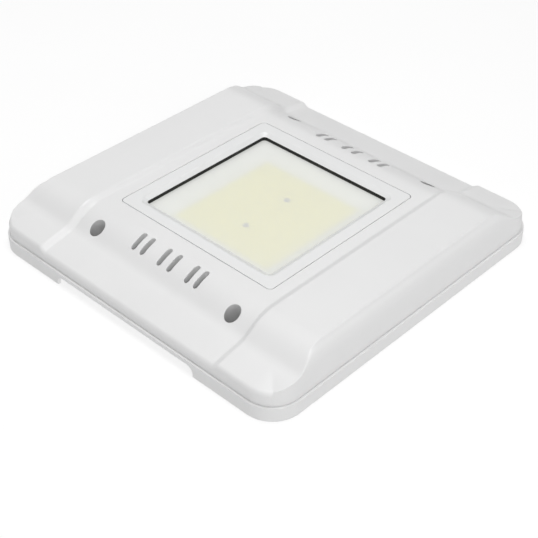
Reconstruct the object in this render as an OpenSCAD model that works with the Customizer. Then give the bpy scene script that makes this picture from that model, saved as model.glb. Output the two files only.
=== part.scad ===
// Square surface-mounted canopy light, lying on its back with the light-emitting face up.
// Origin: centre of the mounting plane. +Z towards the glass, vents on the -Y and +Y slopes.

/* [Body] */
// Width and depth of the square base
body_w = 376.8; // [372:0.4:384]
// Height from the mounting plane to the tops of the two wings
body_h = 51.4; // [51:0.2:54]
// Height of the base's outer skirt
skirt_h = 14.6; // [14:0.2:15.2]
// Radius of the base's four corners in plan
corner_r = 31; // [28:1:34]
// Height of the tray floor's underside above the mounting plane
recess_h = 10.5; // [10:0.1:10.8]
// Width of the cable and air notch in the -Y and +Y skirts
notch_w = 184; // [120:2:200]

/* [Cover] */
// Thickness of the cover shell
wall = 3; // [2.6:0.1:3.2]
// Distance from the centre to each step beside the central band
step_x = 116.5; // [114:0.5:122]
// How far the central band lies below the wings
step_h = 2.8; // [2.2:0.2:3.2]
// Distance from the centre to the start of the vent slope on the band
slope_y = 112; // [110:0.5:113]
// Width of the lower bevel that runs along the -X and +X sides
bevel_w = 9; // [8:0.5:11]

/* [Vents and cover screws] */
// Width of one vent slot
slot_w = 5.5; // [4.5:0.5:6.5]
// Length of one vent slot, end to end
slot_l = 18.8; // [14:0.2:20]
// Distance from the centre to a cover screw along X
screw_x = 90.5; // [86:0.5:94]
// Distance from the centre to a cover screw along Y
screw_y = 137.3; // [134:0.1:140]
// Radius of the recess that the cover screw's head sits in
recess_r = 7.5; // [7:0.1:8]

/* [Lens] */
// Width of the square window in the cover
window_w = 200.6; // [200:0.2:202]
// Width of the square opening inside the bezel, at its top face
opening_w = 176; // [174:0.2:178]
// Thickness of the glass
glass_t = 4; // [3.5:0.1:4.2]
// Size of the yellow light-emitting panel along X
panel_x = 131; // [110:1:150]
// Size of the yellow light-emitting panel along Y
panel_y = 137; // [110:1:150]

/* [Electrics] */
// Width of the driver's aluminium case
driver_w = 56; // [50:1:58]
// Length of the driver's aluminium case
driver_l = 140; // [120:2:144]
// Height of the driver's aluminium case
driver_h = 26; // [22:1:29]
// Distance between the mounting holes along X
mount_x = 300; // [296:1:304]
// Distance between the mounting holes along Y
mount_y = 220; // [214:1:230]
// Radius of a mounting hole
mount_r = 3.25; // [2.75:0.25:3.5]

/* [Hidden] */
$fn = 64;
big = 60;

half = body_w / 2;

// Base
skirt_t = 3.2;
floor_t = 2.5;
floor_z = recess_h + floor_t;
ledge_w = 10;
lip_in = 6;
lip_t = 2.2;
lip_h = 4.6;
foot_r = 7;
notch_z = recess_h - 0.4;
mount_boss_r = 8;
pillar_r = 7;
pillar_z = 17.1;
pilot_r = 2.04;
pilot_z = 3;

// Cover
cover_gap = 0.4;
cover_z = skirt_h + cover_gap;
cover_half = half - 2.2;
cover_r = corner_r - 2;
band_z = body_h - step_h;
curve_l = 26;
drop_z = 9.1;
steep = 0.7;
steep_l = 6;
relax_l = 8;
gentle = 0.2;
rim_r = 5;
wing_shift = 5;
crest_x = half - 12.7;
step_run = 4;
seat_t = 3;
seat_z = pillar_z + cover_gap;
tube_r = 9.5;
pad_t = 12.6;
pad_x = 46.5;
pad_y = 11.6;
slot_y = 127.7;
slot_low = 20;
slot_xs = [6.7, 29.8, 41.3];

// Lens stack, from the bezel's top face down
bezel_t = 7;
chamfer_h = 2.7;
chamfer_w = 5.35;
lip_low = 3;
gasket_t = 4.1;
bezel_z = band_z - bezel_t;
gasket_z = band_z - lip_low - gasket_t;
glass_z = gasket_z - glass_t;
panel_z = bezel_z - 10.5;
panel_t = 0.5;
board_t = 1.4;
board_z = panel_z - panel_t - board_t;
thermal_t = 0.3;
sink_top = board_z - thermal_t;
seam = 0.6;
bezel_r = 5;
frame_half = 98.5;
frame_in = 93;
ledge_in = 81.5;
glass_half = 92.4;
lip_half = opening_w / 2 - chamfer_w;
lip_r = 4;
board_half = 80.5;
seal_t = 0.6;
glass_r = 4;

// Heat sink
sink_half = 104;
sink_t = 5;
fin_z = floor_z + 0.5;
fin_t = 2;
fin_pitch = 10;
fin_count = 19;
fin_l = 182;
lead_hole = [75, -60];
lead_hole_r = 4;
post_xy = 100;
post_r = 4.5;

// Screws
m3_r = 1.48;
m3_clear = 1.7;
m3_head_r = 2.9;
m3_head_h = 1.8;
m4_r = 1.98;
m4_head_r = 3.8;
m4_head_h = 2.4;
waist_r = 1.45;
tapped_r = 1.7;
cover_head_r = 4.6;
cover_head_h = 3.4;
washer_t = 1;
board_screw_y = 29;
bezel_screw_a = 95.8;
bezel_screw_b = 50;
bezel_thread = 5;
led_thread = 4.2;
sink_thread = 12;

// Driver and supply side
side_x = 140;
driver_z = floor_z;
cap_l = 9;
tab_l = 12;
tab_t = 2.5;
tab_w = 16;
cap_t = 0.8;
groove_pitch = 7;
groove_w = 2.4;
groove_h = 1.2;
terminal_y = 45;
terminal_w = 24;
terminal_l = 38;
terminal_h = 16;
pole_pitch = 11;
pole_x = 6.5;
pole_low = 5.5;
pole_r = 2.5;
wire_hole_r = 2;
wire_hole_l = 8;
groove_x = 2;
grommet_y = -38;
grommet_r = 8;
flange_w = 3;
flange_t = 2;
cord_r = 4.5;
clamp_y = 0;
clamp_t = 3;
clamp_l = 30;
clamp_w = 10;
clamp_screw_x = 11;
earth_y = 92;
tag_t = 0.8;
tag_r = 4.6;
tag_l = 12;
tag_w = 4.4;

// Routes of the inner leads in plan, as the middle lead of each bundle runs
lead_z = floor_z + 4;
lead_r = 1.4;
lead_sides = 12;
lead_pitch = 3.2;
supply_route = [[-116, terminal_y], [-116, 110], [-108, 118], [100, 118], [120, 98], [120, 79.1]];
clip_at = [60, 118];
clip_l = 14;
clip_w = 8;
clip_h = 7.2;
clip_t = 2;
led_route = [[126, -79.1], [126, -98], [112, -112], [84, -112], [75, -103], lead_hole];

// ---- shared shapes ----

// Square with its centre at the origin and round corners
module plate_2d(h, r) {
    square([2 * h, 2 * (h - r)], center = true);
    square([2 * (h - r), 2 * h], center = true);
    for (x = [-1, 1], y = [-1, 1]) translate([x * (h - r), y * (h - r)]) circle(r);
}

module plate(h, r, z0, z1) {
    translate([0, 0, z0]) linear_extrude(z1 - z0) plate_2d(h, r);
}

module ring(outer, outer_r, inner, inner_r, z0, z1) {
    difference() {
        plate(outer, outer_r, z0, z1);
        plate(inner, inner_r, z0 - 1, z1 + 1);
    }
}

module bar(x0, x1, y0, y1, z0, z1) {
    translate([x0, y0, z0]) cube([x1 - x0, y1 - y0, z1 - z0]);
}

module rod(x, y, z0, z1, r) {
    translate([x, y, z0]) cylinder(h = z1 - z0, r = r);
}

module four(x, y) {
    for (sx = [-1, 1], sy = [-1, 1]) translate([sx * x, sy * y, 0]) children();
}

// Cross recess cut into the top of a screw head
module cross_cut(z, r) {
    for (a = [0, 90]) rotate(a) bar(-r, r, -0.16 * r - 0.2, 0.16 * r + 0.2, z - 1.2, z + 1);
}

// Pan-head screw whose head's underside is at z
module screw(z, length, r, head_r, head_h) {
    difference() {
        union() {
            translate([0, 0, z - length]) cylinder(h = length + 0.5, r = r);
            translate([0, 0, z]) rotate_extrude() polygon([
                [0, 0], [head_r, 0], [head_r, head_h * 0.6],
                [head_r * 0.82, head_h * 0.92], [head_r * 0.6, head_h], [0, head_h]
            ]);
        }
        cross_cut(z + head_h, head_r * 0.55);
    }
}

module m3(z, length) { screw(z, length, m3_r, m3_head_r, m3_head_h); }

// ---- cover profile ----

// Height of the central band at the distance y from the centre line
function fall(y) =
    y < slope_y ? 0
    : y < slope_y + curve_l ? drop_z * pow((y - slope_y) / curve_l, 2)
    : y < slope_y + curve_l + steep_l ? drop_z + steep * (y - slope_y - curve_l)
    : let (a = slope_y + curve_l + steep_l, s = min(y - a, relax_l))
        drop_z + steep * steep_l + steep * s - (steep - gentle) * s * s / (2 * relax_l)
        + gentle * max(y - a - relax_l, 0);

rim_y = cover_half - rim_r;

// One half of the section across the vents, as [y, z] points from the middle to the rim
function half_section(lift, shift, t) = concat(
    [for (y = [0, slope_y / 2]) [y, band_z + lift - t]],
    [for (y = [slope_y : 2 : slope_y + curve_l + steep_l + relax_l])
        [y + shift - t * 0.4, band_z + lift - t - fall(y)]],
    [let (y = rim_y - 6) [y, band_z + lift - t - fall(y - shift)]],
    [for (a = [78 : -13 : 0])
        [rim_y - t + rim_r * cos(a), band_z + lift - t - fall(rim_y - shift) - rim_r * (1 - sin(a))]],
    [[cover_half - t, cover_z - 1]]
);

function flip(points) = [for (i = [len(points) - 1 : -1 : 0]) [-points[i][0], points[i][1]]];

module vent_section(lift, shift, t, x0, x1) {
    points = half_section(lift, shift, t);
    translate([x0, 0, 0]) rotate([90, 0, 90]) linear_extrude(x1 - x0)
        polygon(concat(flip(points), points));
}

// Bevelled section across the two plain sides: the crest, two bevels and the slightly leaning wall
module side_section(t) {
    x = crest_x - t * 0.6;
    b = bevel_w / 9;
    points = [
        [x, body_h - t], [x + 1.3 * b, body_h - t - 2.4], [x + 5.2 * b, body_h - t - 5.9],
        [x + 7.5 * b, body_h - t - 10.7], [x + 8.4 * b, body_h - t - 15], [cover_half - t, cover_z - 1]
    ];
    rotate([90, 0, 0]) linear_extrude(2 * half, center = true) polygon(concat(flip(points), points));
}

// Solid outer form of the cover, pulled in by t
module cover_form(t) {
    intersection() {
        plate(cover_half - t, cover_r - t, cover_z - (t > 0 ? 1 : 0), body_h + 1);
        side_section(t);
        union() {
            vent_section(0, 0, t, -half, half);
            for (m = [0, 1]) mirror([m, 0, 0]) {
                vent_section(step_h, wing_shift, t, step_x + step_run / 2, half);
                vent_section(step_h / 2, wing_shift / 2, t, step_x - step_run / 2, half);
            }
        }
    }
}

// Slot with round ends along Y
module slot(x, y) {
    run = slot_l - slot_w;
    bar(x - slot_w / 2, x + slot_w / 2, y - run / 2, y + run / 2, slot_low, big);
    for (s = [-1, 1]) rod(x, y + s * run / 2, slot_low, big, slot_w / 2);
}

module front_cover() {
    color("white") difference() {
        cover_form(0);
        difference() {
            cover_form(wall);
            four(screw_x, screw_y) rod(0, 0, seat_z, big, tube_r);
            for (s = [-1, 1]) bar(-pad_x, pad_x, s * slot_y - pad_y, s * slot_y + pad_y,
                band_z - pad_t, big);
        }
        plate(window_w / 2, bezel_r + 0.3, cover_z, big);
        for (s = [-1, 1], m = [-1, 1], x = slot_xs) slot(m * x, s * slot_y);
        four(screw_x, screw_y) {
            rod(0, 0, seat_z + seat_t, big, recess_r);
            rod(0, 0, cover_z, big, tapped_r);
        }
    }
}

module cover_washers() {
    color("dimgray") four(screw_x, screw_y) difference() {
        rod(0, 0, seat_z + seat_t, seat_z + seat_t + washer_t, cover_head_r + 0.6);
        rod(0, 0, seat_z, seat_z + 6, tapped_r);
    }
}

// Captive M4 screw: its waist turns in the cover's tapped hole, which the thread below can't pass
module cover_screw(sx, sy) {
    z = seat_z + seat_t + washer_t + 0.02;
    color("silver") translate([sx * screw_x, sy * screw_y, 0]) {
        screw(z, z - pillar_z + 1, waist_r, cover_head_r, cover_head_h);
        rod(0, 0, pilot_z + 1.5, pillar_z, m4_r);
    }
}

// ---- base ----

module base_tray() {
    color("white") difference() {
        union() {
            ring(half, corner_r, half - skirt_t, corner_r - skirt_t, 0, skirt_h);
            plate(half - 1, corner_r - 1, recess_h, floor_z);
            ring(half - 1, corner_r - 1, half - ledge_w, corner_r - ledge_w, recess_h, skirt_h);
            ring(half - lip_in, corner_r - lip_in, half - lip_in - lip_t,
                corner_r - lip_in - lip_t, recess_h, skirt_h + lip_h);
            four(mount_x / 2, mount_y / 2) rod(0, 0, 0, floor_z, mount_boss_r);
            four(screw_x, screw_y) rod(0, 0, 0, pillar_z, pillar_r);
            four(post_xy, post_xy) rod(0, 0, recess_h, sink_top - sink_t, post_r);
        }
        notch(notch_w / 2 - foot_r, notch_z);
        notch(notch_w / 2, notch_z - foot_r);
        for (x = [-1, 1]) translate([x * (notch_w / 2 - foot_r), 0, notch_z - foot_r])
            rotate([90, 0, 0]) cylinder(h = 2 * half + 10, r = foot_r, center = true);
        four(mount_x / 2, mount_y / 2) rod(0, 0, -1, floor_z + 1, mount_r);
        four(screw_x, screw_y) rod(0, 0, pilot_z, pillar_z + 1, pilot_r);
        four(post_xy, post_xy) rod(0, 0, floor_z, sink_top, m3_clear - 0.2);
        rod(-side_x, grommet_y, 0, big, grommet_r);
        at_driver_screws() rod(0, 0, 0, big, m4_r + 0.02);
        at_clamp_screws() rod(0, 0, 0, big, m3_r + 0.02);
        rod(-side_x, earth_y, 0, big, m4_r + 0.02);
    }
}

// Clears the middle of the -Y and +Y skirts from the mounting plane up to z
module notch(x, z) {
    for (s = [-1, 1]) bar(-x, x, s * half - 5, s * half + 5, -1, z);
}

// ---- lens ----

// Square opening that widens upwards at a steady slope, past the bezel's top face
module flared_opening() {
    c = lip_half - lip_r;
    rise = chamfer_h + 1;
    spread = chamfer_w * rise / chamfer_h;
    z = band_z - chamfer_h;
    section = [[-lip_half, 0], [lip_half, 0], [lip_half + spread, rise], [-lip_half - spread, rise]];
    translate([0, 0, z]) {
        four(c, c) cylinder(h = rise, r1 = lip_r, r2 = lip_r + spread);
        for (a = [0, 90]) rotate([90, 0, a]) linear_extrude(2 * c, center = true) polygon(section);
    }
}

module lens_bezel() {
    outer = window_w / 2 - seam;
    color("white") difference() {
        plate(outer, bezel_r - 0.3, bezel_z, band_z);
        flared_opening();
        plate(lip_half, lip_r, 0, band_z - chamfer_h + 0.1);
        plate(frame_in, glass_r, 0, band_z - lip_low);
        at_bezel_screws() rod(0, 0, bezel_z - 1, bezel_z + bezel_thread + 0.2, m3_r + 0.02);
    }
}

module lens_gasket() {
    color("black") ring(glass_half, glass_r, lip_half, lip_r, gasket_z, band_z - lip_low);
}

module lens_glass() { color("ivory", 0.5) plate(glass_half, glass_r, glass_z, gasket_z); }

// Frame that carries the glass on an inner ledge
module lens_frame() {
    color("gainsboro") difference() {
        plate(frame_half, bezel_r, sink_top + seal_t, bezel_z);
        plate(frame_in, glass_r, glass_z, bezel_z + 1);
        plate(ledge_in, 3, 0, glass_z + 1);
        at_bezel_screws() rod(0, 0, 0, big, m3_clear);
    }
}

module frame_seal() {
    color("dimgray") difference() {
        ring(frame_half - 0.5, glass_r, ledge_in + 1.5, 3, sink_top, sink_top + seal_t);
        at_bezel_screws() rod(0, 0, 0, big, m3_clear);
    }
}

module at_bezel_screws() {
    for (a = [0 : 90 : 270], b = [-1, 1]) rotate(a) translate([bezel_screw_a, b * bezel_screw_b, 0])
        children();
}

// The heads sit under the heat sink's plate and the threads run up into the bezel
module bezel_screws() {
    z = sink_top - sink_t;
    color("silver") at_bezel_screws() mirror([0, 0, 1])
        screw(-z, bezel_z + bezel_thread - z, m3_r, m3_head_r, m3_head_h);
}

// ---- light engine ----

module at_board_screws() { for (s = [-1, 1]) translate([0, s * board_screw_y, 0]) children(); }

module led_board() {
    color("whitesmoke") difference() {
        plate(board_half, 3, board_z, board_z + board_t);
        at_board_screws() rod(0, 0, 0, big, m3_clear);
    }
}

module led_panel() {
    color("khaki") difference() {
        bar(-panel_x / 2, panel_x / 2, -panel_y / 2, panel_y / 2, panel_z - panel_t, panel_z);
        at_board_screws() rod(0, 0, 0, big, m3_head_r + 0.5);
    }
}

module led_board_screws() {
    z = board_z + board_t;
    color("silver") at_board_screws() m3(z, z - sink_top + led_thread);
}

module thermal_pad() {
    color("lightgray") difference() {
        plate(board_half - 1, 3, sink_top, board_z);
        at_board_screws() rod(0, 0, 0, big, m3_clear);
        bar(lead_hole[0] - 7, board_half, lead_hole[1] - 6, lead_hole[1] + 6, 0, big);
    }
}

module heat_sink() {
    bottom = sink_top - sink_t;
    color("silver") difference() {
        union() {
            plate(sink_half, 5, bottom, sink_top);
            for (i = [0 : fin_count - 1]) {
                x = (i - (fin_count - 1) / 2) * fin_pitch;
                bar(x - fin_t / 2, x + fin_t / 2, -fin_l / 2, fin_l / 2, fin_z, bottom + 0.5);
            }
        }
        at_board_screws() rod(0, 0, bottom - 1, big, m3_r + 0.02);
        at_bezel_screws() rod(0, 0, bottom - 1, big, m3_clear);
        four(post_xy, post_xy) rod(0, 0, bottom - 1, big, m3_clear);
        rod(lead_hole[0], lead_hole[1], bottom - 1, big, lead_hole_r);
    }
}

module heat_sink_screws() {
    color("silver") four(post_xy, post_xy) screw(sink_top, sink_thread, m3_r, m3_head_r - 0.5, m3_head_h);
}

// ---- driver ----

module led_driver() {
    w = driver_w / 2;
    l = driver_l / 2;
    color("lightsteelblue") difference() {
        bar(side_x - w, side_x + w, -l, l, driver_z, driver_z + driver_h);
        for (i = [-3 : 3]) translate([side_x + i * groove_pitch, 0, driver_z + driver_h - groove_h])
            bar(-groove_w / 2, groove_w / 2, -l - 1, l + 1, 0, big);
    }
}

// Moulded end caps with a fixing tab each
module driver_end_caps() {
    w = driver_w / 2;
    l = driver_l / 2;
    color("dimgray") for (m = [0, 1]) mirror([0, m, 0]) difference() {
        union() {
            bar(side_x - w - cap_t, side_x + w + cap_t, l, l + cap_l, driver_z, driver_z + driver_h + cap_t);
            bar(side_x - tab_w / 2, side_x + tab_w / 2, l + cap_l - 1, l + cap_l + tab_l,
                driver_z, driver_z + tab_t);
        }
        rod(side_x, l + cap_l + tab_l / 2, 0, big, m4_r + 0.3);
    }
}

module at_driver_screws() {
    for (s = [-1, 1]) translate([side_x, s * (driver_l / 2 + cap_l + tab_l / 2), 0]) children();
}

module driver_screws() {
    color("silver") at_driver_screws()
        screw(driver_z + tab_t, tab_t + floor_t, m4_r, m4_head_r, m4_head_h);
}

// ---- supply side ----

module terminal_block() {
    x = -side_x;
    color("ivory") difference() {
        bar(x - terminal_w / 2, x + terminal_w / 2, terminal_y - terminal_l / 2,
            terminal_y + terminal_l / 2, floor_z, floor_z + terminal_h);
        at_poles() rod(0, 0, floor_z + pole_low, big, pole_r + 0.1);
        for (i = [-1 : 1], s = [-1, 1])
            translate([x + s * terminal_w / 2, terminal_y + i * pole_pitch, lead_z])
                rotate([0, 90, 0]) cylinder(h = 2 * wire_hole_l, r = wire_hole_r, center = true);
        for (p = [-1, 1], s = [-1, 1])
            translate([x + s * terminal_w / 2, terminal_y + p * pole_pitch / 2, floor_z])
                bar(-groove_x, groove_x, -0.6, 0.6, 2, big);
    }
}

module at_poles() {
    for (i = [-1 : 1], s = [-1, 1]) translate([-side_x + s * pole_x, terminal_y + i * pole_pitch, 0])
        children();
}

module terminal_screws() {
    z = floor_z + pole_low + 0.5;
    top = z + 6;
    color("silver") at_poles() difference() {
        rod(0, 0, z, top, pole_r);
        bar(-2, 2, -0.4, 0.4, top - 1, top + 1);
    }
}

module entry_grommet() {
    color("dimgray") translate([-side_x, grommet_y, 0]) rotate_extrude() polygon([
        [cord_r, recess_h - flange_t], [grommet_r + 0.8 * flange_w, recess_h - flange_t],
        [grommet_r + flange_w, recess_h], [grommet_r, recess_h],
        [grommet_r, floor_z], [grommet_r + flange_w, floor_z],
        [grommet_r + 0.8 * flange_w, floor_z + flange_t], [cord_r, floor_z + flange_t]
    ]);
}

// Saddle that holds the supply cord down on the floor
module cord_clamp() {
    color("ivory") translate([-side_x, clamp_y, floor_z]) difference() {
        union() {
            bar(-clamp_l / 2, clamp_l / 2, -clamp_w / 2, clamp_w / 2, 0, clamp_t);
            rotate([90, 0, 0]) cylinder(h = clamp_w, r = cord_r + 2.4, center = true);
        }
        rotate([90, 0, 0]) cylinder(h = clamp_w + 2, r = cord_r, center = true);
        bar(-big, big, -big, big, -big, 0);
        for (s = [-1, 1]) rod(s * clamp_screw_x, 0, -1, clamp_t + 2, m3_clear);
    }
}

module at_clamp_screws() {
    for (s = [-1, 1]) translate([s * clamp_screw_x - side_x, clamp_y, 0]) children();
}

module cord_clamp_screws() {
    color("silver") at_clamp_screws() m3(floor_z + clamp_t, clamp_t + floor_t);
}

// Screw with the flat ring tag of the earth lead under its head
module earth_screw() {
    z = floor_z + tag_t;
    color("goldenrod") translate([-side_x, earth_y, 0]) {
        screw(z, z - recess_h, m4_r, m4_head_r, m4_head_h);
        difference() {
            union() {
                rod(0, 0, floor_z, z, tag_r);
                bar(-tag_w / 2, tag_w / 2, -tag_l, 0, floor_z, z);
            }
            rod(0, 0, 0, big, m4_r - 0.1);
        }
    }
}

function unit(v) = v / norm(v);

// One ring of points per bend, each carried along the lead onto the mitre plane of the next bend
function rings(points, ring, i = 1) =
    i == len(points) ? [ring]
    : let (d = unit(points[i] - points[i - 1]),
           n = i == len(points) - 1 ? d : unit(points[i + 1] - points[i]) + d)
        concat([ring], rings(points,
            [for (v = ring) v + d * (((points[i] - v) * n) / (d * n))], i + 1));

// Lead with flat sides through the given points, the first run of which is level
module lead(points) {
    d = unit(points[1] - points[0]);
    start = [for (k = [0 : lead_sides - 1]) let (a = 360 * k / lead_sides)
        points[0] + lead_r * (cos(a) * [-d[1], d[0], 0] + sin(a) * [0, 0, 1])];
    all = rings(points, start);
    last = len(all) - 1;
    polyhedron(
        points = [for (ring = all) each ring],
        faces = concat(
            [[for (k = [0 : lead_sides - 1]) k]],
            [[for (k = [lead_sides - 1 : -1 : 0]) last * lead_sides + k]],
            [for (i = [0 : last - 1], k = [0 : lead_sides - 1])
                let (next = (k + 1) % lead_sides, a = i * lead_sides, b = a + lead_sides)
                [a + next, a + k, b + k, b + next]]
        )
    );
}

// The route's points moved to the left by d, so that leads side by side keep their spacing
function beside(route, d) = [
    for (k = [0 : len(route) - 1])
        let (n = len(route) - 1,
             a = k > 0 ? unit(route[k] - route[k - 1]) : unit(route[1] - route[0]),
             b = k < n ? unit(route[k + 1] - route[k]) : a,
             m = unit(a + b))
        [route[k][0] - m[1] * d / (m * a), route[k][1] + m[0] * d / (m * a), lead_z]
];

// Each pole's lead leaves its own hole in the terminal block and joins the bundle
module supply_leads() {
    color("sienna") for (i = [-1 : 1]) {
        points = beside(supply_route, i * lead_pitch);
        joined = [for (k = [0 : len(points) - 1])
            k == 0 ? [points[0][0], terminal_y + i * pole_pitch, lead_z] : points[k]];
        lead(concat([[terminal_w / 2 - side_x - 3, terminal_y + i * pole_pitch, lead_z]], joined));
    }
}

module led_leads() {
    color("firebrick") for (s = [-1, 1]) {
        points = beside(led_route, s * lead_pitch / 2);
        last = points[len(points) - 1];
        lead(concat(points, [[last[0], last[1], board_z - 0.1]]));
    }
}

// Moulded clips that hold the supply leads on the floor
module wire_clips() {
    color("white") for (s = [-1, 1]) translate([s * clip_at[0], clip_at[1], floor_z]) difference() {
        bar(-clip_w / 2, clip_w / 2, -clip_l / 2, clip_l / 2, 0, clip_h);
        bar(-clip_w, clip_w, clip_t - clip_l / 2, clip_l / 2 - clip_t, clip_t, clip_h - 1.4);
    }
}

base_tray();
front_cover();
cover_washers();
cover_screw(-1, -1);  // cover_screw_front_left
cover_screw(1, -1);  // cover_screw_front_right
cover_screw(-1, 1);  // cover_screw_back_left
cover_screw(1, 1);  // cover_screw_back_right
lens_bezel();
lens_gasket();
lens_glass();
lens_frame();
frame_seal();
bezel_screws();
led_board();
led_panel();
led_board_screws();
thermal_pad();
heat_sink();
heat_sink_screws();
led_driver();
driver_end_caps();
driver_screws();
terminal_block();
terminal_screws();
entry_grommet();
cord_clamp();
cord_clamp_screws();
earth_screw();
supply_leads();
led_leads();
wire_clips();
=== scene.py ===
"""Looks of a square canopy light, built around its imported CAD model.

Named dimensions are in mm. The cover and the bezel are remade here as smooth meshes, the leads as curves,
and the other CAD nodes keep their shape and get a material.
"""
import math

import bmesh
import bpy
import numpy as np
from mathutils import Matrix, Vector


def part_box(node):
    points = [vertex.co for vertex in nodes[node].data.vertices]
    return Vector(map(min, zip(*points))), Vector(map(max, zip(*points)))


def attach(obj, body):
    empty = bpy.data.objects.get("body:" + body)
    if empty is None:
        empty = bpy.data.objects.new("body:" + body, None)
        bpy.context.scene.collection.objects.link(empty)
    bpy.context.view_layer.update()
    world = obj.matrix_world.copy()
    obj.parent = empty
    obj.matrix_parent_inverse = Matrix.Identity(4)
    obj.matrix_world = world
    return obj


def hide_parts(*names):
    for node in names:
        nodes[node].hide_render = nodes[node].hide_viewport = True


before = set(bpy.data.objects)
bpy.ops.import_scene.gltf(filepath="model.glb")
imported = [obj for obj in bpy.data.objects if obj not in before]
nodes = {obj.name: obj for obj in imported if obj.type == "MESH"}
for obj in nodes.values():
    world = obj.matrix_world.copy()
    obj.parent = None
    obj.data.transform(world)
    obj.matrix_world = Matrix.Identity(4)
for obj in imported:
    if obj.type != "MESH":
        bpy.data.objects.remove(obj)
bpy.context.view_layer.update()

MM = 0.001

# Cover: heights are above the ceiling, distances are from the middle
BODY_Z = 51.4
BAND_Z = 48.6
COVER_HALF = 186.2
COVER_BASE = 15.0
WALL = 3.0
CORNER_R = 29.0
CORNER_C = COVER_HALF - CORNER_R
SLOPE_Y = 112.0
CURVE_L = 26.0
DROP = 9.1
STEEP, STEEP_L = 0.7, 6.0
GENTLE, RELAX_L = 0.2, 8.0
RIM_R = 5.0
RIM_Y = COVER_HALF - RIM_R
WING_SHIFT = 5.0
STEP_FROM, STEP_TO = 112.3, 120.7
WINDOW, WINDOW_R = 100.3, 5.3
SLOT_XS = (6.7, 29.8, 41.3)
SLOT_Y, SLOT_HALF_W, SLOT_HALF_L = 127.7, 2.75, 9.4
PAD_Z, PAD_X = 36.0, 46.5
PAD_FROM, PAD_TO = 116.5, 138.9
SCREW_X, SCREW_Y = 90.5, 137.3
RECESS_R, TUBE_R, HOLE_R = 7.5, 9.5, 1.7
SEAT_TOP, SEAT_UNDER = 20.5, 17.5
EDGE = 0.45
WINDOW_REACH, RECESS_REACH, SLOT_REACH = (102, 102), (11.5, 11.7), (4.35, 11)
SIDE_PROFILE = ((170.0, 51.4), (173.9, 51.4), (175.2, 51.25), (176.3, 50.4), (177.3, 49.0), (180.9, 45.5),
                (183.1, 40.7), (184.0, 37.0), (184.6, 33.0), (186.2, 15.0))


# ---- small helpers ----

def smoothstep(a, b, x):
    t = np.clip((np.asarray(x, float) - a) / (b - a), 0, 1)
    return t * t * (3 - 2 * t)


def mesh_object(name, verts, faces, sharp_deg=38.0):
    """Mesh object from points in mm, cleaned, its faces outwards and smooth apart from sharp edges."""
    mesh = bpy.data.meshes.new(name)
    mesh.from_pydata([tuple(c * MM for c in v) for v in verts], [], faces)
    bm = bmesh.new()
    bm.from_mesh(mesh)
    bmesh.ops.remove_doubles(bm, verts=bm.verts, dist=0.004 * MM)
    bmesh.ops.dissolve_degenerate(bm, edges=bm.edges, dist=0.002 * MM)
    bmesh.ops.recalc_face_normals(bm, faces=bm.faces)
    bm.to_mesh(mesh)
    bm.free()
    mesh.shade_smooth()
    mesh.set_sharp_from_angle(angle=math.radians(sharp_deg))
    obj = bpy.data.objects.new(name, mesh)
    bpy.context.scene.collection.objects.link(obj)
    weighted = obj.modifiers.new("normals", "WEIGHTED_NORMAL")
    weighted.keep_sharp = True
    return obj


def bridge(a, b):
    """Quads between two closed loops of as many vertices."""
    n = len(a)
    return [(a[k], a[(k + 1) % n], b[(k + 1) % n], b[k]) for k in range(n)]


# ---- materials ----

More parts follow.
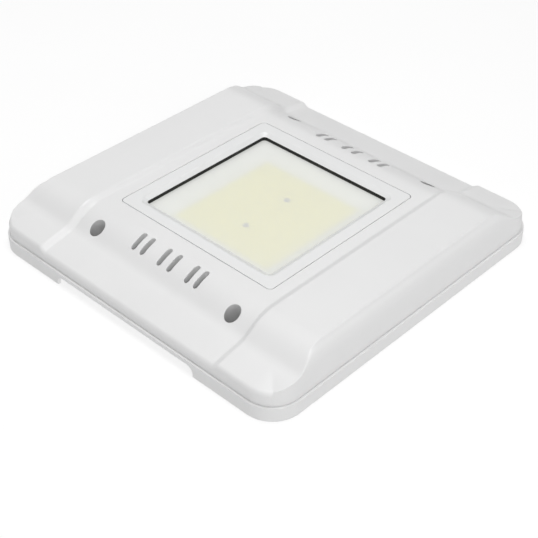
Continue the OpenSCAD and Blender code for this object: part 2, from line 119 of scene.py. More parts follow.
class Material:
    """A Principled material in object coordinates, with shorthand for the nodes that its details need."""

    def __init__(self, name, colour, roughness, metallic=0.0, coat=0.0, specular=0.5):
        self.mat = bpy.data.materials.new(name)
        self.mat.use_nodes = True
        self.tree = self.mat.node_tree
        self.shader = self.tree.nodes["Principled BSDF"]
        self.coords = self.node("ShaderNodeTexCoord").outputs["Object"]
        self.set(**{"Base Color": (*colour, 1), "Roughness": roughness, "Metallic": metallic,
                    "Coat Weight": coat, "Coat Roughness": 0.15, "Specular IOR Level": specular})

    def set(self, **values):
        for key, value in values.items():
            self.shader.inputs[key].default_value = value

    def node(self, kind, **settings):
        n = self.tree.nodes.new(kind)
        for key, value in settings.items():
            setattr(n, key, value)
        return n

    def link(self, a, b):
        self.tree.links.new(a, b)

    def stretched(self, scale):
        m = self.node("ShaderNodeMapping")
        m.inputs["Scale"].default_value = scale
        self.link(self.coords, m.inputs["Vector"])
        return m.outputs["Vector"]

    def vector(self, operation, a, b=None):
        n = self.node("ShaderNodeVectorMath", operation=operation)
        self.link(a, n.inputs[0])
        if b is not None:
            n.inputs[1].default_value = b
        return n.outputs["Value" if operation == "LENGTH" else "Vector"]

    def math(self, operation, *values):
        """The result of one Math node, from sockets and plain numbers."""
        n = self.node("ShaderNodeMath", operation=operation)
        for socket, value in zip(n.inputs, values):
            if isinstance(value, (int, float)):
                socket.default_value = value
            else:
                self.link(value, socket)
        return n.outputs[0]

    def parts(self):
        """The coordinates' X, Y and Z sockets, by name."""
        n = self.node("ShaderNodeSeparateXYZ")
        self.link(self.coords, n.inputs["Vector"])
        return n.outputs

    def noise(self, scale, detail=2.0, stretch=None):
        n = self.node("ShaderNodeTexNoise")
        n.inputs["Scale"].default_value = scale
        n.inputs["Detail"].default_value = detail
        self.link(self.stretched(stretch) if stretch else self.coords, n.inputs["Vector"])
        return n.outputs["Fac"]

    def spread(self, value, low, high, out_low, out_high):
        n = self.node("ShaderNodeMapRange")
        for key, v in (("From Min", low), ("From Max", high), ("To Min", out_low), ("To Max", out_high)):
            n.inputs[key].default_value = v
        self.link(value, n.inputs["Value"])
        return n.outputs["Result"]

    def mix(self, factor, a, b):
        """Colour a to colour b by a factor socket; a colour may be a socket."""
        n = self.node("ShaderNodeMix", data_type="RGBA")
        self.link(factor, n.inputs[0])
        for socket, value in ((n.inputs[6], a), (n.inputs[7], b)):
            if isinstance(value, tuple):
                socket.default_value = (*value, 1)
            else:
                self.link(value, socket)
        return n.outputs[2]

    def colour_from(self, socket):
        self.link(socket, self.shader.inputs["Base Color"])

    def rough_from(self, socket):
        self.link(socket, self.shader.inputs["Roughness"])

    def bump(self, height, distance, strength=1.0):
        """Adds a bump on top of any that is there."""
        n = self.node("ShaderNodeBump")
        n.inputs["Distance"].default_value = distance
        n.inputs["Strength"].default_value = strength
        normal = self.shader.inputs["Normal"]
        if normal.is_linked:
            self.link(normal.links[0].from_socket, n.inputs["Normal"])
        self.link(height, n.inputs["Height"])
        self.link(n.outputs["Normal"], normal)


def coating(name, colour, roughness, shade=0.985, grain=900.0, depth=0.00002):
    """Satin paint or moulded plastic: faint mottling, fine orange peel and a slightly uneven roughness."""
    m = Material(name, colour, roughness)
    dark = tuple(c * shade for c in colour)
    m.colour_from(m.mix(m.spread(m.noise(14, 3), 0.35, 0.65, 0, 1), colour, dark))
    m.rough_from(m.spread(m.noise(60, 2), 0.3, 0.7, roughness - 0.05, roughness + 0.06))
    m.bump(m.noise(grain, 2), depth, 0.5)
    m.bump(m.noise(grain * 0.22, 1), depth * 2.5, 0.35)
    return m


def metal(name, colour, roughness, streak, grain=1400.0, depth=0.00001):
    """Metal with fine lines along the long axis of the stretched noise, and slight staining."""
    m = Material(name, colour, roughness, metallic=1.0)
    lines = m.noise(grain, 3, stretch=streak)
    dark = tuple(c * 0.82 for c in colour)
    m.colour_from(m.mix(m.spread(m.noise(45, 4), 0.35, 0.7, 0, 1), colour, dark))
    m.rough_from(m.spread(lines, 0.3, 0.7, roughness - 0.1, roughness + 0.12))
    m.bump(lines, depth, 0.6)
    return m.mat


def rubber(name, colour, roughness):
    m = Material(name, colour, roughness, specular=0.35)
    pale = tuple(min(1, c * 1.8 + 0.01) for c in colour)
    m.colour_from(m.mix(m.spread(m.noise(180, 4), 0.5, 0.8, 0, 1), colour, pale))
    m.rough_from(m.spread(m.noise(90, 2), 0.3, 0.7, roughness - 0.08, roughness + 0.08))
    m.bump(m.noise(1600, 2), 0.00003, 0.5)
    return m.mat


# Heights in mm over which painted shade greys the cover's screw recesses, from none to full
RECESS_SHADE_FROM, RECESS_SHADE_TO = 46, 28
FRAME_IN = 93.0
FADE_CORNER = 4
LED_RIM = 8.0


def cover_material():
    """The cover's white, with painted shade that greys it towards the bottom of the four screw recesses."""
    m = coating("cover_white", (0.80, 0.80, 0.80), 0.42)
    folded = m.vector("ABSOLUTE", m.coords)
    across = m.vector("MULTIPLY", m.vector("SUBTRACT", folded, (SCREW_X * MM, SCREW_Y * MM, 0)), (1, 1, 0))
    inside = m.spread(m.vector("LENGTH", across), (RECESS_R + 0.1) * MM, (RECESS_R + 0.3) * MM, 1, 0)
    low = m.spread(m.parts()["Z"], RECESS_SHADE_FROM * MM, RECESS_SHADE_TO * MM, 0.35, 1)
    white = m.shader.inputs["Base Color"].links[0].from_socket
    # Painted shade: the recess walls turn grey with depth, standing in for the shade inside them
    m.colour_from(m.mix(m.math("MULTIPLY", inside, low), white, (0.5, 0.5, 0.5)))
    return m.mat


def edge_fade(m, half_x, half_y, width):
    """0 inside a centred rectangle of those half sizes, rising softly to 1 over that width outside it."""
    place = m.parts()
    gaps = [m.math("SUBTRACT", m.math("ABSOLUTE", place[axis]), half * MM)
            for axis, half in (("X", half_x), ("Y", half_y))]
    past = m.math("SMOOTH_MAX", *gaps, FADE_CORNER * MM)
    fade = m.node("ShaderNodeMapRange", interpolation_type="SMOOTHSTEP")
    fade.inputs["From Max"].default_value = width * MM
    m.link(past, fade.inputs["Value"])
    return fade.outputs["Result"]


def led_material():
    """Yellow phosphor with a faint cell pattern, paler at its rim, and a slight glow."""
    m = Material("led_yellow", (0.88, 0.84, 0.20), 0.55)
    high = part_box("led_panel")[1]
    fade = edge_fade(m, high[0] / MM - LED_RIM, high[1] / MM - LED_RIM, LED_RIM)
    cells = m.node("ShaderNodeTexVoronoi")
    cells.inputs["Scale"].default_value = 420
    m.link(m.coords, cells.inputs["Vector"])
    body = m.mix(m.spread(m.noise(22, 3), 0.35, 0.65, 0, 1), (0.90, 0.85, 0.05), (0.88, 0.82, 0.04))
    body = m.mix(m.spread(cells.outputs["Distance"], 0, 0.9, 0, 0.25), body, (0.82, 0.74, 0.03))
    m.colour_from(m.mix(fade, body, (0.80, 0.80, 0.72)))
    m.link(m.mix(fade, (1.0, 0.96, 0.0), (0.5, 0.5, 0.46)), m.shader.inputs["Emission Color"])
    m.set(**{"Emission Strength": 0.06})
    m.bump(m.noise(700, 2), 0.00003, 0.4)
    return m.mat


def board_material():
    """White solder-resist with faint copper areas showing through, and a faint painted glow (emission) that
    stands in for the panel's light falling on it.
    """
    m = Material("board_white", (0.82, 0.83, 0.81), 0.3, coat=0.2)
    m.colour_from(m.mix(m.spread(m.noise(35, 1), 0.48, 0.52, 0, 1), (0.83, 0.84, 0.82), (0.79, 0.80, 0.77)))
    m.bump(m.noise(35, 1), 0.00003, 0.4)
    # Painted glow: the board is no lamp, this emission stands in for light from the panel
    m.set(**{"Emission Color": (1, 1, 0.95, 1), "Emission Strength": 0.1})
    return m.mat


def frame_material():
    """The lens frame's white, with a painted glow (emission) on its inner faces that stands in for the
    panel's light falling on them.
    """
    m = coating("frame_white", (0.78, 0.79, 0.78), 0.5, grain=1500)
    # Painted glow: emission only inside the frame's opening, standing in for light from the panel
    glow = m.mix(edge_fade(m, FRAME_IN + 0.2, FRAME_IN + 0.2, 0.4), (1, 1, 0.95), (0, 0, 0))
    m.link(glow, m.shader.inputs["Emission Color"])
    m.set(**{"Emission Strength": 0.24})
    return m.mat


def glass_material():
    """Etched glass with a fine grain, whose two faces each scatter half of the light and pass the rest, and a
    faint painted glow (emission) that stands in for light scattered from the panel.
    """
    m = Material("frosted_glass", (0.93, 0.94, 0.93), 0.4, specular=0.4)
    # The emission is a painted glow: the glass is no lamp
    m.set(**{"Alpha": 0.5, "Emission Color": (0.95, 0.95, 0.86, 1), "Emission Strength": 0.03})
    m.rough_from(m.spread(m.noise(900, 3), 0.3, 0.7, 0.36, 0.46))
    m.bump(m.noise(2400, 2), 0.00001, 0.4)
    return m.mat


def lead_material(name, colour, stripe=None):
    """Smooth lead sleeve, with a spiral stripe for an earth lead."""
    m = Material(name, colour, 0.38)
    base = m.mix(m.spread(m.noise(120, 3), 0.3, 0.7, 0, 1), colour, tuple(c * 0.86 for c in colour))
    if stripe:
        wave = m.node("ShaderNodeTexWave", bands_direction="DIAGONAL")
        wave.inputs["Scale"].default_value = 60
        m.link(m.coords, wave.inputs["Vector"])
        base = m.mix(m.spread(wave.outputs["Fac"], 0.45, 0.55, 0, 1), base, stripe)
    m.colour_from(base)
    m.bump(m.noise(900, 2), 0.00002, 0.4)
    return m.mat


mats = {
    "bezel_white": coating("bezel_white", (0.80, 0.805, 0.805), 0.36).mat,
    "tray_white": coating("tray_white", (0.79, 0.79, 0.79), 0.45, grain=800).mat,
    "natural_plastic": coating("natural_plastic", (0.74, 0.71, 0.62), 0.45, 0.94, 1200).mat,
    "black_plastic": coating("black_plastic", (0.035, 0.035, 0.038), 0.5, 0.8, 1100, 0.00003).mat,
    "black_rubber": rubber("black_rubber", (0.012, 0.012, 0.012), 0.62),
    "grey_silicone": rubber("grey_silicone", (0.22, 0.22, 0.225), 0.55),
    "sink_aluminium": metal("sink_aluminium", (0.78, 0.79, 0.80), 0.42, (1, 0.04, 1)),
    "driver_aluminium": metal("driver_aluminium", (0.70, 0.71, 0.73), 0.38, (1, 0.03, 1)),
    "steel": metal("steel", (0.62, 0.62, 0.61), 0.34, (1, 1, 0.2), 2600),
    "blackened_steel": metal("blackened_steel", (0.03, 0.03, 0.03), 0.6, (1, 1, 0.2), 2600),
    "brass_plated": metal("brass_plated", (0.80, 0.62, 0.30), 0.32, (1, 1, 0.2), 2600),
    "cover_white": cover_material(),
    "frame_white": frame_material(),
    "led_yellow": led_material(),
    "board_white": board_material(),
    "frosted_glass": glass_material(),
}


# ---- cover shell ----

def fall(y):
    """How far the band has dropped at the distance y from the centre line."""
    y = np.asarray(y, float)
    a = SLOPE_Y + CURVE_L
    b = a + STEEP_L
    s = np.clip(y - b, 0, RELAX_L)
    drop = DROP * (np.clip(y - SLOPE_Y, 0, CURVE_L) / CURVE_L) ** 2 + STEEP * np.clip(y - a, 0, STEEP_L)
    drop = drop + STEEP * s - (STEEP - GENTLE) * s * s / (2 * RELAX_L)
    return drop + GENTLE * np.clip(y - b - RELAX_L, 0, None)


def catmull(points, per):
    """Points along a smooth curve through the given ones, which it starts at and ends at."""
    p = np.array([points[0], *points, points[-1]], float)
    out = []
    for k in range(1, len(p) - 2):
        for t in np.arange(per) / per:
            out.append(0.5 * (2 * p[k] + (p[k + 1] - p[k - 1]) * t
                              + (2 * p[k - 1] - 5 * p[k] + 4 * p[k + 1] - p[k + 2]) * t * t
                              + (3 * p[k] - p[k - 1] - 3 * p[k + 1] + p[k + 2]) * t ** 3))
    out.append(p[-2])
    return np.array(out)


def offset_in(points, t):
    """Points of an open outline moved to its inner side, below and left of its way from top to bottom."""
    d = np.gradient(points, axis=0)
    d /= np.linalg.norm(d, axis=1)[:, None]
    return points - t * np.stack([-d[:, 1], d[:, 0]], 1)


def around(centre, steps):
    return [centre + s for s in steps]


def unique_lines(values):
    """Grid lines in order, without those that all but coincide."""
    out = []
    for v in sorted(values):
        if not out or v - out[-1] > 0.25:
            out.append(v)
    return out


# Grid lines of the cover, close together where it has slots, recesses and bends
recess_steps = (-11.5, -9.2, -6.9, -4.6, -2.3, 0, 2.3, 4.6, 6.9, 9.2, 11.5)
slot_steps_x = (-4.35, -3.3, -2.2, -1.1, 0, 1.1, 2.2, 3.3, 4.35)

x_flat = unique_lines(
    [x for c in SLOT_XS for x in around(c, slot_steps_x)] + [0, 18.2, PAD_X, PAD_X + 0.8, 55, 64, 72]
    + around(SCREW_X, recess_steps) + [96.3, 98.5, 100.8, 106]
    + list(np.linspace(STEP_FROM, STEP_TO, 13)) + [130, 143, CORNER_C, 160, 163, 166])
side = catmull(SIDE_PROFILE, 3)
side[:, 0] = np.maximum.accumulate(side[:, 0])
side_in = offset_in(side, WALL)
side_in[-1] = (COVER_HALF - WALL, COVER_BASE)

X = np.array(x_flat + list(side[:, 0]))
X_DROP = np.array([0.0] * len(x_flat) + list(BODY_Z - side[:, 1]))
XI = np.array(x_flat + list(side_in[:, 0]))
XI_DROP = np.array([0.0] * len(x_flat) + list(np.clip(BODY_Z - WALL - side_in[:, 1], 0, None)))

y_surface = unique_lines(
    [0, 18, 36, 54, 72, 84, 95.1, 96.3, 97.4, 98.5, 99.7, 100.8, 102, 107, SLOPE_Y, 113.3, 114.6, 115.9,
     116.7, 118.15, 119.6, 121.05, 123.2, 125.4, SLOT_Y, 130, 132.2, 134.35, 135.8, 137.25, 138.7, 139.5,
     141, 142.5, 144, 145.6, 147.2, 148.8, 150.4, 152, 154.5, CORNER_C, 160, 163, 166, 169, 172, 175, 178,
     RIM_Y - 1])


def end_lines(lift, shift):
    """The section across the vents from the middle to the rim's lower edge, outside and inside."""
    top = [(y, BAND_Z + lift - fall(y - shift)) for y in y_surface]
    rim = BAND_Z + lift - fall(RIM_Y - shift)
    arc = [(RIM_Y + RIM_R * math.cos(math.radians(a)), rim - RIM_R * (1 - math.sin(math.radians(a))))
           for a in (78, 63, 48, 34, 20, 8, 0)]
    wall = [(COVER_HALF, z) for z in np.linspace(arc[-1][1], COVER_BASE, 4)[1:]]
    points = np.array(top + arc + wall)
    inner = offset_in(points, WALL)
    inner[0, 0] = 0
    inner[-1] = (COVER_HALF - WALL, COVER_BASE)
    return points, inner


band, band_in = end_lines(0, 0)
wing, wing_in = end_lines(BODY_Z - BAND_Z, WING_SHIFT)
Y = band[:, 0]


def mirrored(values, sign=-1):
    """Values for the lines from one side to the other, from those of the middle to one side."""
    return np.concatenate([sign * values[:0:-1], values])


def larger(a, b):
    """The larger of two drops, with a soft change from one to the other where both are well above 0."""
    k = np.clip(np.minimum(a, b), 1e-4, 2.2)
    h = np.clip(k - np.abs(a - b), 0, None) / k
    return np.maximum(a, b) + h * h * k / 4


def round_corner(x, y, centre):
    """Square corners beyond the centre turned into round ones."""
    u, v = np.abs(x) - centre, np.abs(y) - centre
    inside = (u > 0) & (v > 0)
    share = np.where(inside, np.maximum(u, v) / np.maximum(np.hypot(u, v), 1e-9), 1)
    return (np.where(inside, np.sign(x) * (centre + u * share), x),
            np.where(inside, np.sign(y) * (centre + v * share), y))


def cover_skins():
    """Outer and inner grid points of the cover, as arrays of rows across by rows along by 3."""
    x, xi = mirrored(X), mirrored(XI)
    xd, xid = mirrored(X_DROP, 1), mirrored(XI_DROP, 1)
    share = smoothstep(STEP_FROM, STEP_TO, np.abs(x))[:, None]
    yb, yw = mirrored(band[:, 0])[None], mirrored(wing[:, 0])[None]
    db, dw = (mirrored(BODY_Z - p[:, 1], 1)[None] for p in (band, wing))
    drop = larger(xd[:, None], db * (1 - share) + dw * share)
    px, py = round_corner(x[:, None] + 0 * drop, yb * (1 - share) + yw * share, CORNER_C)
    outer = np.stack([px, py, np.maximum(BODY_Z - drop, COVER_BASE)], -1)

    yb, yw = mirrored(band_in[:, 0])[None], mirrored(wing_in[:, 0])[None]
    db, dw = (mirrored(np.clip(BODY_Z - WALL - p[:, 1], 0, None), 1)[None] for p in (band_in, wing_in))
    drop = larger(xid[:, None], db * (1 - share) + dw * share)
    px, py = round_corner(xi[:, None] + 0 * drop, yb * (1 - share) + yw * share, CORNER_C)
    z = np.maximum(BODY_Z - WALL - drop, COVER_BASE)
    along = np.abs(mirrored(Y))[None]
    pad = (np.abs(x)[:, None] <= PAD_X + 0.01) & (along > PAD_FROM) & (along < PAD_TO)
    inner = np.stack([px, py, np.where(pad, PAD_Z, z)], -1)
    return outer, inner


def outline_point(p, rect, half, r):
    """Where a point on a rectangle's edge goes on the rounded outline inside it, both about the origin."""
    ax, ay = abs(p[0]), abs(p[1])
    cx, cy = half[0] - r, half[1] - r
    on_end = rect[1] - ay < 1e-6
    if on_end and ax <= cx + 1e-6:
        q = (ax, half[1])
    elif not on_end and ay <= cy + 1e-6:
        q = (half[0], ay)
    else:
        run = (ax - cx) if on_end else (rect[0] - cx) + (rect[1] - ay)
        turn = math.pi / 2 * (1 - run / ((rect[0] - cx) + (rect[1] - cy)))
        q = (cx + r * math.cos(turn), cy + r * math.sin(turn))
    return math.copysign(q[0], p[0]), math.copysign(q[1], p[1])


def build_cover():
    """Both skins of the cover, opened for the window, slots and recesses, and joined at the rim."""
    outer, inner = cover_skins()
    nx, ny = outer.shape[:2]
    xs, ys = mirrored(X), mirrored(Y)
    verts = [tuple(p) for p in outer.reshape(-1, 3)] + [tuple(p) for p in inner.reshape(-1, 3)]
    faces = []

    def at(i, j, layer=0):
        return layer * nx * ny + i * ny + j

    def column(value):
        return int(np.argmin(np.abs(xs - value)))

    def row(value):
        return int(np.argmin(np.abs(ys - value)))

    def surface(y):
        return float(BAND_Z - fall(abs(y)))

    def hole(centre, reach, half, r, levels, lead_in=2):
        """Opens the skins in a rectangle and joins them by rings.

        A level is the outline's growth, its z, or None for the surface's, and what is added to that z.
        """
        i0, i1 = column(centre[0] - reach[0]), column(centre[0] + reach[0])
        j0, j1 = row(centre[1] - reach[1]), row(centre[1] + reach[1])
        loop = ([(i, j0) for i in range(i0, i1)] + [(i1, j) for j in range(j0, j1)]
                + [(i, j1) for i in range(i1, i0, -1)] + [(i0, j) for j in range(j1, j0, -1)])
        ends = np.array([[xs[i0], xs[i1]], [ys[j0], ys[j1]]]) - np.array(centre)[:, None]
        spots = []
        for i, j in loop:
            p = [xs[i] - centre[0], ys[j] - centre[1]]
            spots.append([p[k] * reach[k] / abs(ends[k, 0 if p[k] < 0 else 1]) for k in (0, 1)])

        def ring(grow, z, dz, blend=1.0):
            made = []
            for (i, j), s in zip(loop, spots):
                q = outline_point(s, reach, (half[0] + grow, half[1] + grow), r + grow)
                px = xs[i] + (centre[0] + q[0] - xs[i]) * blend
                py = ys[j] + (centre[1] + q[1] - ys[j]) * blend
                verts.append((px, py, (surface(py) if z is None else z) + dz))
                made.append(len(verts) - 1)
            return made

        rings = [[at(i, j) for i, j in loop]]
        rings += [ring(levels[0][0], None, 0, (k + 1) / (lead_in + 1)) for k in range(lead_in)]
        rings += [ring(*level) for level in levels]
        rings.append([at(i, j, 1) for i, j in loop])
        for a, b in zip(rings, rings[1:]):
            faces.extend(bridge(a, b))
        return i0, i1, j0, j1

    lip = [(EDGE * (1 - math.sin(a)), None, -EDGE * (1 - math.cos(a)))
           for a in (0, math.radians(30), math.radians(60), math.pi / 2)]
    window = lip + [(0, BAND_Z - WALL, 0)]
    recess = lip + [(0, SEAT_TOP + 0.7, 0), (-0.2, SEAT_TOP + 0.2, 0), (-0.7, SEAT_TOP, 0),
                    (HOLE_R - RECESS_R, SEAT_TOP, 0), (HOLE_R - RECESS_R, SEAT_UNDER, 0),
                    (TUBE_R - RECESS_R, SEAT_UNDER, 0), (TUBE_R - RECESS_R, None, -WALL * 1.15)]
    slot = lip + [(0, PAD_Z + 0.3, 0), (0.3, PAD_Z, 0)]
    opened = [hole((0, 0), WINDOW_REACH, (WINDOW, WINDOW), WINDOW_R, window, 0)]
    for sy in (-1, 1):
        for sx in (-1, 1):
            screw = (sx * SCREW_X, sy * SCREW_Y)
            opened.append(hole(screw, RECESS_REACH, (RECESS_R, RECESS_R), RECESS_R, recess))
            for x in SLOT_XS:
                opened.append(hole((sx * x, sy * SLOT_Y), SLOT_REACH, (SLOT_HALF_W, SLOT_HALF_L),
                                   SLOT_HALF_W, slot))
    shut = np.ones((nx - 1, ny - 1), bool)
    for i0, i1, j0, j1 in opened:
        shut[i0:i1, j0:j1] = False
    for i, j in zip(*np.nonzero(shut)):
        quad = [at(i, j), at(i + 1, j), at(i + 1, j + 1), at(i, j + 1)]
        faces.append(quad)
        faces.append([v + nx * ny for v in reversed(quad)])
    rim = ([(i, 0) for i in range(nx - 1)] + [(nx - 1, j) for j in range(ny - 1)]
           + [(i, ny - 1) for i in range(nx - 1, 0, -1)] + [(0, j) for j in range(ny - 1, 0, -1)])
    faces.extend(bridge([at(i, j, 1) for i, j in rim], [at(i, j) for i, j in rim]))
    return mesh_object("cover_shell", verts, faces)


cover = build_cover()
cover.data.materials.append(mats["cover_white"])
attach(cover, "cover")
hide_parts("front_cover")


# ---- bezel ----

def rounded_square(half, r, z, per=10):
    """Points round a centred square with round corners, each of them in that many steps."""
    points = []
    for k in range(4):
        for a in np.linspace(0, math.pi / 2, per + 1):
            t = a + k * math.pi / 2
            c = (half - r) * np.array([(1, 1), (-1, 1), (-1, -1), (1, -1)][k])
            points.append((c[0] + r * math.cos(t), c[1] + r * math.sin(t), z))
    return points


def square_ring(name, section):
    """Closed ring with rounded corners from its section, a list of (half, corner radius, z)."""
    verts, loops = [], []
    for half, r, z in section:
        points = rounded_square(half, r, z)
        loops.append(list(range(len(verts), len(verts) + len(points))))
        verts += points
    faces = []
    for a, b in zip(loops, loops[1:] + loops[:1]):
        faces += bridge(a, b)
    return mesh_object(name, verts, faces)


BEZEL_OUT, BEZEL_OUT_R, BEZEL_LOW = 99.7, 4.7, 41.6
OPENING, LIP, LIP_R, LIP_Z, LIP_LOW = 88.0, 82.65, 4.0, 45.9, 45.6
POCKET, POCKET_R = 93.0, 4.0
BEZEL_FILLET, CHAMFER_SOFT = 0.5, 3.2


def bezel_section():
    """Outer wall, filleted top, softened slope down to the lip, and the step over the gasket."""
    slope = math.atan2(BAND_Z - LIP_Z, OPENING - LIP)
    out = []
    for a in np.linspace(0, math.pi / 2, 5):
        d = BEZEL_FILLET * (1 - math.cos(a))
        out.append((BEZEL_OUT - d, BEZEL_OUT_R - d, BAND_Z - BEZEL_FILLET * (1 - math.sin(a))))
    centre = OPENING + CHAMFER_SOFT * math.tan(slope / 2)
    inn = [(centre - CHAMFER_SOFT * math.sin(a), BAND_Z - CHAMFER_SOFT * (1 - math.cos(a)))
           for a in np.linspace(0, slope, 5)]
    inn += [(LIP + 0.25, LIP_Z + 0.13), (LIP + 0.05, LIP_Z - 0.02), (LIP, LIP_Z - 0.12), (LIP, LIP_LOW)]
    return ([(BEZEL_OUT, BEZEL_OUT_R, BEZEL_LOW)] + out + [(h, LIP_R + h - LIP, z) for h, z in inn]
            + [(POCKET, POCKET_R, LIP_LOW), (POCKET, POCKET_R, BEZEL_LOW)])


bezel = square_ring("bezel_ring", bezel_section())
bezel.data.materials.append(mats["bezel_white"])
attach(bezel, "base")
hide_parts("lens_bezel")


# ---- leads ----

LEAD_Z, LEAD_R, LEAD_PITCH, BEND_R = 17.0, 1.4, 3.2, 6.0
TERMINAL_X, TERMINAL_Y, POLE_PITCH = -128.0, 45.0, 11.0
BOARD_Z = 29.2
SUPPLY_ROUTE = ((-116, 45), (-116, 110), (-108, 118), (100, 118), (120, 98), (120, 79.1))
LED_ROUTE = ((126, -79.1), (126, -98), (112, -112), (84, -112), (75, -103), (75, -60))


def beside(route, d):
    """The route moved to its left by d, so that leads side by side keep their spacing."""
    p = np.array(route, float)
    out = []
    for k in range(len(p)):
        a = p[k] - p[k - 1] if k else p[1] - p[0]
        b = p[k + 1] - p[k] if k < len(p) - 1 else a
        a, b = a / np.linalg.norm(a), b / np.linalg.norm(b)
        m = (a + b) / np.linalg.norm(a + b)
        out.append(p[k] + np.array([-m[1], m[0]]) * d / (m @ a))
    return [(*q, LEAD_Z) for q in out]


def eased(points, radius, steps=6):
    """The same way with each bend rounded."""
    p = [Vector(q) for q in points]
    out = [p[0]]
    for a, b, c in zip(p, p[1:], p[2:]):
        r = min(radius, (a - b).length * 0.45, (c - b).length * 0.45)
        s, e = b + (a - b).normalized() * r, b + (c - b).normalized() * r
        for k in range(steps + 1):
            t = k / steps
            out.append(s * (1 - t) ** 2 + b * 2 * t * (1 - t) + e * t * t)
    return out + [p[-1]]


def lead(name, points, material, node):
    """A lead along those points, in place of its CAD node."""
    curve = bpy.data.curves.new(name, "CURVE")
    curve.dimensions = "3D"
    curve.bevel_depth = LEAD_R * MM
    curve.bevel_resolution = 4
    curve.use_fill_caps = True
    way = eased(points, BEND_R)
    spline = curve.splines.new("POLY")
    spline.points.add(len(way) - 1)
    for point, w in zip(spline.points, way):
        point.co = (*(w * MM), 1)
    curve.materials.append(material)
    obj = bpy.data.objects.new(name, curve)
    bpy.context.scene.collection.objects.link(obj)
    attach(obj, "base")
    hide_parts(node)


SUPPLY = (("supply_lead_blue", (0.03, 0.10, 0.34), None),
          ("supply_lead_earth", (0.10, 0.30, 0.06), (0.62, 0.52, 0.05)),
          ("supply_lead_brown", (0.16, 0.07, 0.03), None))
for i, (name, colour, stripe) in zip((-1, 0, 1), SUPPLY):
    points = beside(SUPPLY_ROUTE, i * LEAD_PITCH)
    y = TERMINAL_Y + i * POLE_PITCH
    points = [(TERMINAL_X - 3, y, LEAD_Z), (points[0][0], y, LEAD_Z)] + points[1:]
    lead(name, points, lead_material(name, colour, stripe), "supply_leads")
for s, name, colour in ((-1, "led_lead_red", (0.42, 0.03, 0.025)), (1, "led_lead_black", (0.03, 0.03, 0.03))):
    points = beside(LED_ROUTE, s * LEAD_PITCH / 2)
    points.append((points[-1][0], points[-1][1], BOARD_Z - 0.1))
    lead(name, points, lead_material(name, colour), "led_leads")


# ---- CAD nodes that stay ----

def dress(node, slot, bevel):
    """Gives a CAD node its material, and rounds its edges by modifiers, which leave its mesh as it is."""
    obj = nodes[node]
    obj.data.materials.clear()
    obj.data.materials.append(mats[slot])
    weld = obj.modifiers.new("weld", "WELD")
    weld.merge_threshold = 0.002 * MM
    flat = obj.modifiers.new("flat", "DECIMATE")
    flat.decimate_type = "DISSOLVE"
    flat.angle_limit = math.radians(0.6)
    if bevel:
        edge = obj.modifiers.new("edge", "BEVEL")
        edge.width = bevel * MM
        edge.segments = 2
        edge.limit_method = "ANGLE"
        edge.angle_limit = math.radians(35)
    obj.data.shade_smooth()
    smooth = obj.modifiers.new("normals", "WEIGHTED_NORMAL")
    smooth.keep_sharp = True


# Each node with its material and the size of its rounded edges
KEPT = (
    ("base_tray", "tray_white", 0.5),
    ("cover_washers", "grey_silicone", 0.0),
    ("lens_gasket", "black_rubber", 0.3),
    ("lens_glass", "frosted_glass", 0.3),
    ("lens_frame", "frame_white", 0.3),
    ("frame_seal", "grey_silicone", 0.0),
    ("bezel_screws", "steel", 0.0),
    ("led_board", "board_white", 0.1),
    ("led_panel", "led_yellow", 0.1),
    ("led_board_screws", "blackened_steel", 0.0),
    ("thermal_pad", "grey_silicone", 0.0),
    ("heat_sink", "sink_aluminium", 0.2),
    ("heat_sink_screws", "steel", 0.0),
    ("led_driver", "driver_aluminium", 0.5),
    ("driver_end_caps", "black_plastic", 0.4),
    ("driver_screws", "steel", 0.0),
    ("terminal_block", "natural_plastic", 0.3),
    ("terminal_screws", "brass_plated", 0.0),
    ("entry_grommet", "black_rubber", 0.3),
    ("cord_clamp", "natural_plastic", 0.3),
    ("cord_clamp_screws", "steel", 0.0),
    ("earth_screw", "brass_plated", 0.0),
    ("wire_clips", "natural_plastic", 0.2),
    ("cover_screw_front_left", "steel", 0.0),
    ("cover_screw_front_right", "steel", 0.0),
    ("cover_screw_back_left", "steel", 0.0),
    ("cover_screw_back_right", "steel", 0.0),
)
for node, slot, bevel in KEPT:
    dress(node, slot, bevel)


# ---- floor, light and camera ----

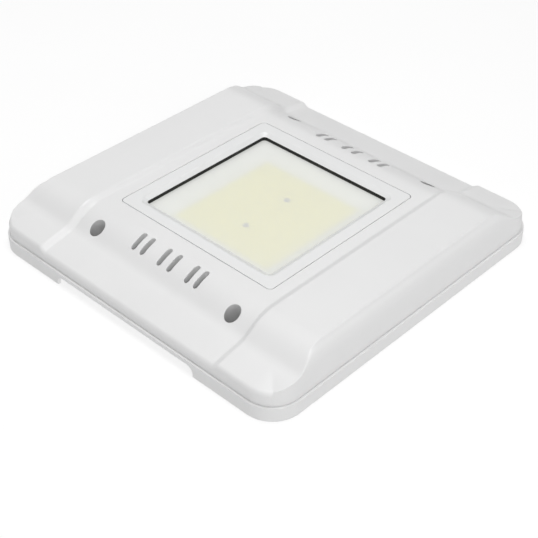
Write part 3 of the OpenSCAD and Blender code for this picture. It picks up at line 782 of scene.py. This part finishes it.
def add_floor():
    """A pale floor whose own light keeps it near white."""
    bpy.ops.mesh.primitive_plane_add(size=12)
    floor = bpy.context.object
    floor.name = "floor"
    grey = (0.35, 0.35, 0.35)
    m = Material("floor", grey, 0.9, specular=0.0)
    m.colour_from(m.mix(m.spread(m.noise(3, 2), 0.3, 0.7, 0, 1), grey, (0.34, 0.34, 0.34)))
    m.set(**{"Emission Color": (1, 1, 1, 1), "Emission Strength": 0.66})
    floor.data.materials.append(m.mat)


def add_light(name, place, size, power):
    """A round area light that faces the middle of the object."""
    lamp = bpy.data.lights.new(name, "AREA")
    lamp.shape = "DISK"
    lamp.size = size
    lamp.energy = power
    obj = bpy.data.objects.new(name, lamp)
    bpy.context.scene.collection.objects.link(obj)
    obj.location = place
    obj.rotation_euler = (Vector() - Vector(place)).to_track_quat("-Z", "Y").to_euler()


CAMERA_AT, CAMERA_WAY = (0.65909, -0.6873, 0.71051), (-0.5430, 0.5677, -0.6187)
LENS_LENGTH, SENSOR = 80.1, 36


def add_camera():
    data = bpy.data.cameras.new("camera")
    data.sensor_width = SENSOR
    data.lens = LENS_LENGTH
    data.shift_x, data.shift_y = 0.0017, 0.0009
    obj = bpy.data.objects.new("camera", data)
    bpy.context.scene.collection.objects.link(obj)
    obj.location = CAMERA_AT
    obj.rotation_euler = Vector(CAMERA_WAY).to_track_quat("-Z", "Y").to_euler()
    bpy.context.scene.camera = obj


def add_world():
    world = bpy.data.worlds.new("world")
    world.use_nodes = True
    background = world.node_tree.nodes["Background"]
    background.inputs["Color"].default_value = (1, 1, 1, 1)
    background.inputs["Strength"].default_value = 0.1
    bpy.context.scene.world = world


# Each light with its place, its width and its power, in metres and watts
LIGHTS = (
    ("top_light", (0, 0, 2.4), 1.6, 34),
    ("right_light", (2.2, 0, 1.2), 1.4, 9),
    ("left_light", (-2.2, 0, 1.2), 1.4, 7),
    ("near_light", (1.4, -1.4, 1.8), 1.4, 21),
    ("far_light", (-1.4, 1.4, 1.8), 1.4, 5.5),
)
add_floor()
add_world()
for light in LIGHTS:
    add_light(*light)
add_camera()
bpy.context.scene.view_settings.view_transform = "Standard"
